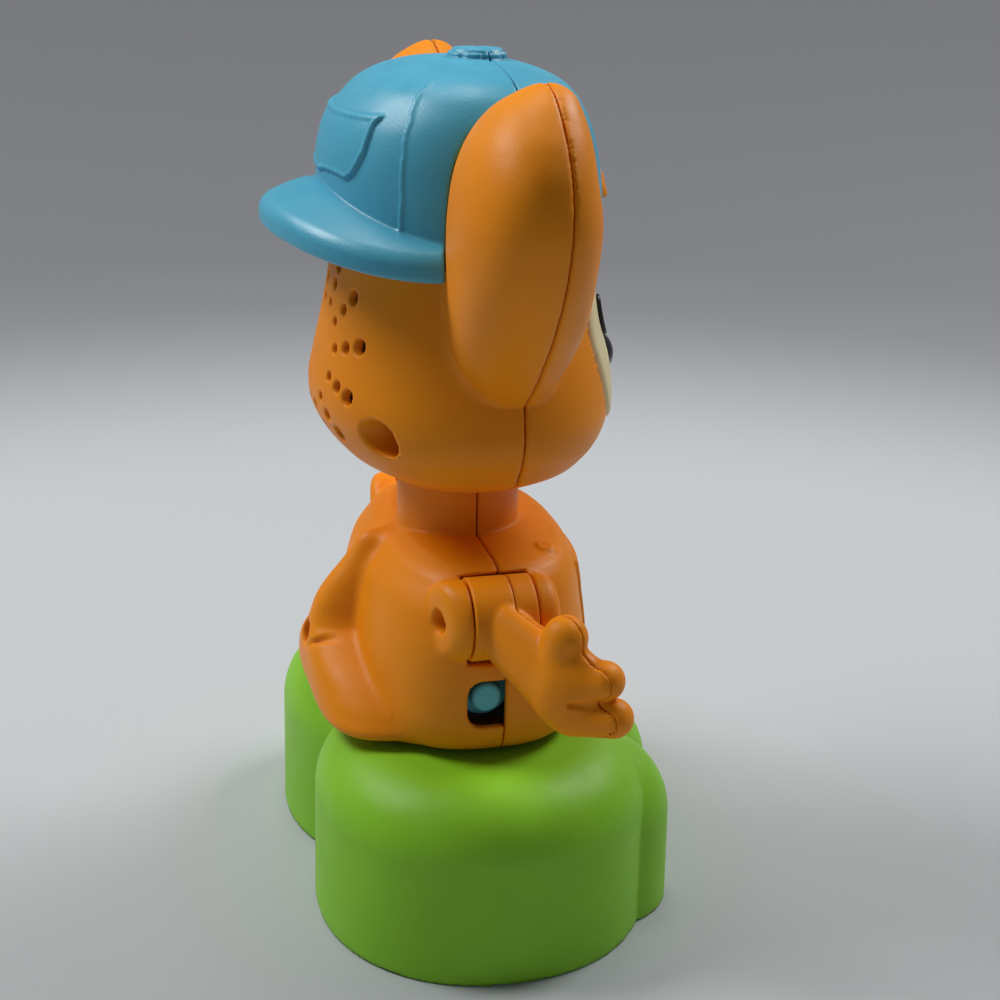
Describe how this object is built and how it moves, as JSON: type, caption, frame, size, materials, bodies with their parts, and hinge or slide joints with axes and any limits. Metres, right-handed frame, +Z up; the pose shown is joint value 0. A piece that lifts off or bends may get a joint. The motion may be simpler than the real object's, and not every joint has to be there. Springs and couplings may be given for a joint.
{
  "type": "musical learning toy",
  "caption": "Puppy toy in a backwards cap on a clover-shaped base, with swinging arms, a push plunger at each side, a turning head and a speaker in the back of the head.",
  "frame": {"origin": "on the neck's axis, at the underside of the base", "axes": "+Z up, -Y the way the face looks, -X the puppy's right arm"},
  "size_m": [0.1482, 0.0978, 0.2048],
  "materials": {
    "green": "moulded apple green, fine satin grain",
    "dark_green": "moulded green underside, matt",
    "orange": "moulded orange, fine matt grain",
    "blue": "moulded sky blue, satin",
    "plunger_blue": "smooth moulded blue",
    "cream": "moulded cream, satin",
    "black_plastic": "black moulded plastic",
    "grey_plastic": "grey moulded plastic",
    "steel": "zinc-plated steel",
    "cell": "plain wrapped cell",
    "board": "green circuit board",
    "wire": "insulated wire bundle"
  },
  "bodies": {
    "base_and_body": {"base_shell": "green", "base_plate": "dark_green", "battery_door": "dark_green", "body_rear_shell": "orange", "body_front_shell": "orange", "sound_chip": "black_plastic", "capacitor": "black_plastic", "switch_housing": "black_plastic", "right_touch_switch": "black_plastic", "left_touch_switch": "black_plastic", "plunger_bracket": "grey_plastic", "neck_turntable": "grey_plastic", "base_screw_1": "steel", "base_screw_2": "steel", "base_screw_3": "steel", "base_screw_4": "steel", "body_screw": "steel", "right_shoulder_screw": "steel", "left_shoulder_screw": "steel", "battery_springs": "steel", "battery_contacts": "steel", "right_plunger_spring": "steel", "left_plunger_spring": "steel", "battery_1": "cell", "battery_2": "cell", "battery_3": "cell", "circuit_board": "board", "switch_board": "board", "body_wire": "wire"},
    "head": {"head_rear_shell": "orange", "head_front_shell": "orange", "right_head_screw": "steel", "left_head_screw": "steel", "face_panel": "cream", "nose": "black_plastic", "right_eye": "black_plastic", "left_eye": "black_plastic", "cap_rear_shell": "blue", "cap_front_shell": "blue", "speaker": "black_plastic", "speaker_clamp": "grey_plastic", "speaker_wire": "wire"},
    "right_arm": {"right_arm_rear_half": "orange", "right_arm_front_half": "orange"},
    "left_arm": {"left_arm_rear_half": "orange", "left_arm_front_half": "orange"},
    "right_plunger_body": {"right_plunger": "plunger_blue"},
    "left_plunger_body": {"left_plunger": "plunger_blue"},
    "power_switch": {"switch_slider": "black_plastic"}
  },
  "joints": [
    {"name": "head_turn", "type": "hinge", "parent": "base_and_body", "child": "head", "pos_m": [0, 0, 0.11], "axis": [0, 0, 1], "range_deg": [-30, 30]},
    {"name": "right_shoulder", "type": "hinge", "parent": "base_and_body", "child": "right_arm", "pos_m": [-0.04, 0, 0.0798], "axis": [0, 1, 0], "range_deg": [-10, 75]},
    {"name": "left_shoulder", "type": "hinge", "parent": "base_and_body", "child": "left_arm", "pos_m": [0.04, 0, 0.0798], "axis": [0, -1, 0], "range_deg": [-10, 75]},
    {"name": "right_press", "type": "slide", "parent": "base_and_body", "child": "right_plunger_body", "axis": [1, 0, 0], "range_m": [0, 0.0028], "stiffness_N_per_m": 120, "deforming": ["right_plunger_spring"]},
    {"name": "left_press", "type": "slide", "parent": "base_and_body", "child": "left_plunger_body", "axis": [-1, 0, 0], "range_m": [0, 0.0028], "stiffness_N_per_m": 120, "deforming": ["left_plunger_spring"]},
    {"name": "power_slide", "type": "slide", "parent": "base_and_body", "child": "power_switch", "axis": [0, 1, 0], "range_m": [-0.0028, 0.0028]}
  ]
}
